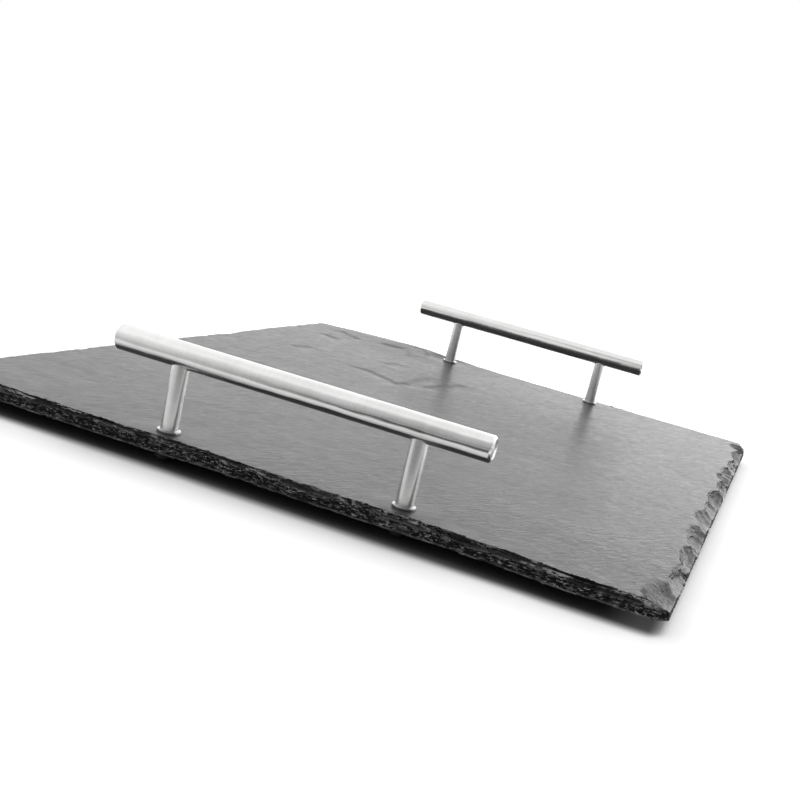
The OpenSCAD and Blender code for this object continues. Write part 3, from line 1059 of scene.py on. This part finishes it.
def makeStone():
    material, tree, shader = newMaterial("rivenSlate")
    fields = stoneFields(tree)
    # the steep broken sides take the side colour, near-black as painted shade
    colour = mixColour(tree, fields["flat"], sideColour(tree, fields), topColour(tree, fields))
    tree.links.new(colour, shader.inputs["Base Color"])

    dull = mixValue(tree, stoneSpec["lineDull"], fields["lines"], fields["mottle"])
    dull = mixValue(tree, fields["broken"], ranged(tree, "rivenDull", dull), stoneSpec["scarDull"])
    dull = mixValue(tree, fields["flat"], stoneSpec["edgeDull"], dull)
    tree.links.new(dull, shader.inputs["Roughness"])

    rough = work(tree, "MAXIMUM", work(tree, "SUBTRACT", 1.0, fields["flat"]),
                 work(tree, "MULTIPLY", fields["broken"], stoneSpec["scarRough"]))
    relief = mixValue(tree, rough, weigh(tree, fields, stoneSpec["rivenRelief"]),
                      weigh(tree, fields, stoneSpec["brokenRelief"]))
    bump = addNode(tree, "Bump", {"Strength": 1.0, "Distance": stoneSpec["relief"] * mm, "Height": relief})
    tree.links.new(bump.outputs[0], shader.inputs["Normal"])
    shader.inputs["IOR"].default_value = stoneSpec["index"]
    return material


slate.data.materials.append(makeStone())
print("stone dressed")


# Camera, light and floor

cameraSpec = {
    "place": (164.917, -605.381, 129.798),   # mm
    "azimuth": 12.991, "elevation": 13.122, "roll": -14.375,
    "focal": 1255.964,                       # pixels of an 800-pixel frame
    "middle": (467.07, 477.36),              # where the lens axis meets the frame
    "frame": 800,
    "sensor": 36.0,
    "nearest": 0.01,
}


def makeCamera():
    a, e, r = (math.radians(cameraSpec[k]) for k in ("azimuth", "elevation", "roll"))
    back = Vector((math.sin(a) * math.cos(e), -math.cos(a) * math.cos(e), math.sin(e)))
    right = (-back).cross(Vector((0, 0, 1))).normalized()
    down = (-back).cross(right)
    tiltedRight = math.cos(r) * right + math.sin(r) * down
    tiltedDown = -math.sin(r) * right + math.cos(r) * down
    data = bpy.data.cameras.new("studioCamera")
    camera = bpy.data.objects.new("studioCamera", data)
    bpy.context.scene.collection.objects.link(camera)
    turn = Matrix((tiltedRight, -tiltedDown, back)).transposed().to_4x4()
    camera.matrix_world = Matrix.Translation(Vector(cameraSpec["place"]) * mm) @ turn
    data.sensor_width = cameraSpec["sensor"]
    data.lens = cameraSpec["focal"] / cameraSpec["frame"] * cameraSpec["sensor"]
    data.shift_x = (cameraSpec["frame"] / 2 - cameraSpec["middle"][0]) / cameraSpec["frame"]
    data.shift_y = (cameraSpec["middle"][1] - cameraSpec["frame"] / 2) / cameraSpec["frame"]
    data.clip_start = cameraSpec["nearest"]
    bpy.context.scene.camera = camera


# 1 for rays that should meet the white background: from the camera, and off metal or through glass
def whiteRays(tree):
    path = addNode(tree, "LightPath")
    seen = work(tree, "MAXIMUM", path.outputs["Is Camera Ray"], path.outputs["Is Glossy Ray"])
    return work(tree, "MAXIMUM", seen, path.outputs["Is Transmission Ray"]), path


def rampOf(tree, factor, stops, highest):
    ramp = addNode(tree, "ValToRGB", {0: factor})
    marks = ramp.color_ramp.elements
    while len(marks) > 1:
        marks.remove(marks[-1])
    marks[0].position = stops[0][0]
    marks[0].color = grey(stops[0][1] / highest)
    for place, value in stops[1:]:
        mark = marks.new(place)
        mark.color = grey(value / highest)
    return work(tree, "MULTIPLY", ramp.outputs[0], highest)


floorSpec = {
    "size": 12.0,            # metres
    "colour": 0.9,
    "frontInset": 4.2,       # mm under the near edge where the floor begins to grow lighter,
    "frontSlant": (-50.0, 70.0, 3.8, 0.0),   # and between these places along it that much further in
    "contact": 9.0,          # mm over which it does, as a painted contact shadow in the floor's colour fades out
    # darkest share of the floor's colour in the painted contact shadow
    "contactShade": 0.15,
    # How much the floor glows in front of the board, so that it is white but keeps the shadow: a painted
    # light that grows with distance from the board and draws the shadow's soft edge
    "lift": [(0.0, 0.0), (0.12, 0.0), (0.15, 0.06), (0.185, 0.1), (0.25, 0.12), (0.33, 0.13), (0.38, 0.145),
             (0.45, 0.175), (0.52, 0.21), (0.62, 0.27), (0.75, 0.4), (1.0, 0.53)],
    "liftWidth": 60.0,
    "sideInset": 6.2,        # at the left and right it starts this far in,
    "beside": 1.84,          # and rises this many times faster
    "cornerPaintedLight": 0.04,      # and under the ends of the board the floor glows a little more, a painted light
    "cornerPlace": (126.0, 142.0),
    "darkSide": (0.766, -0.643, 0),  # metal sees the floor painted darker in this direction, as the room does: a painted dark reflection
    "darkReach": (118.0, 205.0),     # mm from the middle, measured that way
    "darkShade": (0.5, 0.94),
    "darkAhead": (22.0, 85.0),       # it begins between these places in front of the board, in mm
    "darkAway": (130.0, 260.0),      # and between these it fades to that share
    "darkAwayShare": (1.0, 0.7),
}


# How far a place on the floor lies past the board's edges: to the side alone, and in all
def pastBoard(tree, place, x, high):
    slant = mapTo(tree, x, *[value * mm for value in floorSpec["frontSlant"]])
    edge = addNode(tree, "CombineXYZ", {
        0: high.x - floorSpec["sideInset"] * mm,
        1: work(tree, "SUBTRACT", high.y - floorSpec["frontInset"] * mm, slant)}).outputs[0]
    beyond = vectorWork(tree, "SUBTRACT", vectorWork(tree, "ABSOLUTE", place), edge)
    clear = vectorWork(tree, "MAXIMUM", beyond)
    wide = vectorWork(tree, "MULTIPLY", clear, (floorSpec["beside"], 1, 0))
    return addNode(tree, "SeparateXYZ", {0: beyond}).outputs[0], vectorWork(tree, "LENGTH", wide)


# 1 where metal sees the floor as it is, and less where the floor is painted darker for glossy rays alone: a
# painted dark reflection
def paintedReflectionShare(tree, place, y, low, glossy):
    ahead = [low.y - step * mm for step in floorSpec["darkAhead"]]
    away = [low.y - step * mm for step in floorSpec["darkAway"]]
    reach = [step * mm for step in floorSpec["darkReach"]]
    dark = work(tree, "MULTIPLY", mapTo(tree, y, *ahead, 0.0, 1.0, True),
                mapTo(tree, y, *away, *floorSpec["darkAwayShare"], True))
    dark = work(tree, "MULTIPLY", dark, mapTo(
        tree, vectorWork(tree, "DOT_PRODUCT", place, floorSpec["darkSide"]), *reach,
        *floorSpec["darkShade"], True))
    return work(tree, "SUBTRACT", 1.0, work(tree, "MULTIPLY", dark, glossy))


def makeFloor():
    deselectAll()
    bpy.ops.mesh.primitive_plane_add(size=floorSpec["size"], location=(0, 0, 0))
    floor = bpy.context.object
    floor.name = "studioFloor"
    material, tree, shader = newMaterial("paleFloor")
    low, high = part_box(slateSpec["node"])
    place = addNode(tree, "TexCoord").outputs["Object"]
    x, y = addNode(tree, "SeparateXYZ", {0: place}).outputs[:2]
    aside, outside = pastBoard(tree, place, x, high)
    rays, path = whiteRays(tree)
    # Metal sees a painted dark reflection: the floor is painted darker for glossy rays in front of the board
    keptByPaintedReflection = paintedReflectionShare(tree, place, y, low, path.outputs["Is Glossy Ray"])
    # A painted contact shadow: the floor's colour darkens towards the board's edges
    contact = mapTo(tree, outside, 0.0, floorSpec["contact"] * mm, floorSpec["contactShade"], 1.0, True)
    colour = mixColour(tree, work(tree, "MULTIPLY", contact, keptByPaintedReflection), grey(0.0), grey(floorSpec["colour"]))
    tree.links.new(colour, shader.inputs["Base Color"])
    shader.inputs["Roughness"].default_value = 1.0
    shader.inputs["Specular IOR Level"].default_value = 0.0
    # The floor's glow is painted light: it grows with distance from the board and draws the soft edge of the
    # shadow
    far = mapTo(tree, outside, 0.0, floorSpec["liftWidth"] * mm, 0.0, 1.0)
    # Under the ends of the board a little painted light is added to the floor's glow
    corner = [(step + floorSpec["sideInset"]) * mm - high.x for step in floorSpec["cornerPlace"]]
    lift = work(tree, "ADD", rampOf(tree, far, floorSpec["lift"], 1.0),
                mapTo(tree, aside, *corner, 0.0, floorSpec["cornerPaintedLight"], True))
    glow = work(tree, "MULTIPLY", work(tree, "MULTIPLY", rays, keptByPaintedReflection), lift)
    tree.links.new(glow, shader.inputs["Emission Strength"])
    shader.inputs["Emission Color"].default_value = (1, 1, 1, 1)
    floor.data.materials.append(material)
    deselectAll()


roomSpec = {
    "fill": 0.62,                            # share of the room that lights dull surfaces
    "frontSide": (0.766, -0.643, 0),         # direction of the darker part of the room
    "frontFade": (-0.6, 1.0),
    "frontEnd": (0.42, -0.05),               # directions along Y between which it begins
    "front": [(0.0, 0.3), (0.16, 0.38), (0.31, 0.49), (0.59, 0.54), (0.72, 0.72), (0.8, 1.05), (0.88, 1.35),
              (0.95, 1.42), (1.0, 1.3)],
    "back": [(0.0, 1.25), (0.2, 1.25), (0.5, 1.5), (0.7, 1.6), (0.88, 1.32), (1.0, 1.3)],
    "highest": 1.6,
    "glow": (1.2, 2.3),                      # extra light low down at the back, on its left and on its right
    "glowSide": (-0.34, -0.02),              # directions along X between which it grows
    "glowAhead": (0.3, 0.8),                 # and along Y
    "glowHeight": (0.36, 0.08),              # it fades out upwards
    "rightGlow": 2.0,                        # and more to the right of the board
    "rightSide": (0.1, 0.6),
}
lampSpec = {
    "place": (0.3, 0.55, 1.75),
    "size": (1.1, 0.7),
    "power": 9.0,
    "cardPlace": (0.02, -0.09, 0.14),        # a pale card in front of the far handle, seen by metal alone
    "cardSize": (0.26, 0.19),
    "cardGlow": 0.6,
}


def makeRoom():
    world = bpy.data.worlds.new("studioWorld")
    bpy.context.scene.world = world
    world.use_nodes = True
    tree = world.node_tree
    background = tree.nodes["Background"]
    direction = addNode(tree, "TexCoord").outputs["Generated"]
    height = addNode(tree, "SeparateXYZ", {0: direction}).outputs[2]
    heading = vectorWork(tree, "NORMALIZE", vectorWork(tree, "MULTIPLY", direction, (1, 1, 0)))
    front = vectorWork(tree, "DOT_PRODUCT", heading, roomSpec["frontSide"])
    headingX, headingY = addNode(tree, "SeparateXYZ", {0: heading}).outputs[:2]
    towards = work(tree, "MULTIPLY", mapTo(tree, front, *roomSpec["frontFade"], 0.0, 1.0, True),
                   mapTo(tree, headingY, *roomSpec["frontEnd"], 0.0, 1.0, True))
    room = mixValue(tree, towards, rampOf(tree, height, roomSpec["back"], roomSpec["highest"]),
                    rampOf(tree, height, roomSpec["front"], roomSpec["highest"]))
    glow = work(tree, "MULTIPLY", mapTo(tree, headingX, *roomSpec["glowSide"], *roomSpec["glow"], True),
                mapTo(tree, headingY, *roomSpec["glowAhead"], 0.0, 1.0, True))
    rightGlow = work(
        tree, "MULTIPLY", mapTo(tree, headingX, *roomSpec["rightSide"], 0.0, roomSpec["rightGlow"], True),
        mapTo(tree, headingY, *roomSpec["frontEnd"], 1.0, 0.0, True))
    glow = work(tree, "MULTIPLY", work(tree, "ADD", glow, rightGlow),
                mapTo(tree, height, *roomSpec["glowHeight"], 0.0, 1.0, True))
    room = work(tree, "ADD", room, glow)
    rays, path = whiteRays(tree)
    seen = mixValue(tree, rays, work(tree, "MULTIPLY", room, roomSpec["fill"]), room)
    seen = mixValue(tree, path.outputs["Is Camera Ray"], seen, 1.0)
    tree.links.new(seen, background.inputs["Strength"])
    background.inputs["Color"].default_value = (1, 1, 1, 1)


# A rectangular light that shines along aim
def addLight(name, place, size, power, aim, up):
    data = bpy.data.lights.new(name, "AREA")
    data.shape = "RECTANGLE"
    data.size, data.size_y = size
    data.energy = power
    light = bpy.data.objects.new(name, data)
    bpy.context.scene.collection.objects.link(light)
    light.location = place
    light.rotation_euler = aim.to_track_quat("-Z", up).to_euler()
    return light


def makeLights():
    place = Vector(lampSpec["place"])
    softbox = addLight("backSoftbox", place, lampSpec["size"], lampSpec["power"], -place, "Y")
    softbox.visible_glossy = False
    width, height = lampSpec["cardSize"]
    card = addLight("farCard", lampSpec["cardPlace"], lampSpec["cardSize"],
                    lampSpec["cardGlow"] * math.pi * width * height, Vector((0, 1, 0)), "Z")
    card.visible_camera = False
    card.visible_diffuse = False


makeCamera()
makeFloor()
makeRoom()
makeLights()
bpy.context.scene.view_settings.view_transform = "Standard"
print("studio ready")

bpy.context.view_layer.update()
